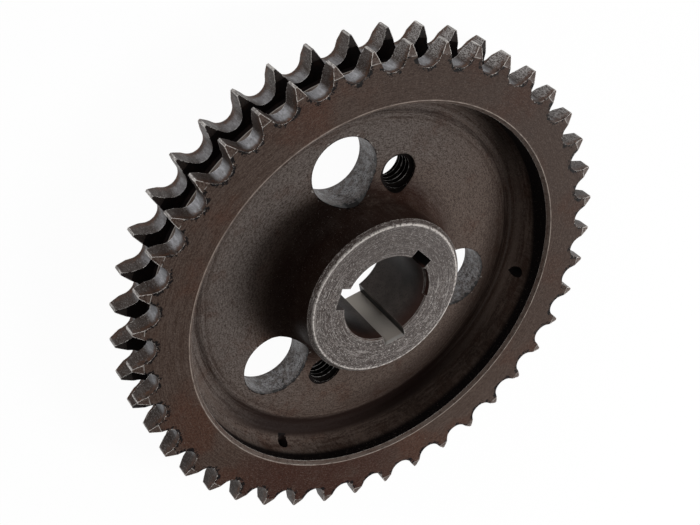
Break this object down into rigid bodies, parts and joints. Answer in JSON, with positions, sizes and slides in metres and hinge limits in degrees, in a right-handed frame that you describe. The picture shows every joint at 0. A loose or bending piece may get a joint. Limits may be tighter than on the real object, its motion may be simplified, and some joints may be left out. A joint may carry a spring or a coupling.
{
  "type": "chain sprocket",
  "caption": "Duplex roller chain sprocket with a dished web, a keyed hub bore, round web windows and threaded puller holes.",
  "frame": {"origin": "on the axis of rotation, in the back face of the hub", "axes": "+Z along the axis, out of the dished front; +Y through the middle of the first keyway and of a tooth"},
  "size_m": [0.1322, 0.1326, 0.0224],
  "materials": {
    "steel": "dark brown oiled steel, turned and worn, brighter on the hub face and the tooth seats"
  },
  "bodies": {
    "root": {"sprocket": "steel"}
  },
  "joints": []
}
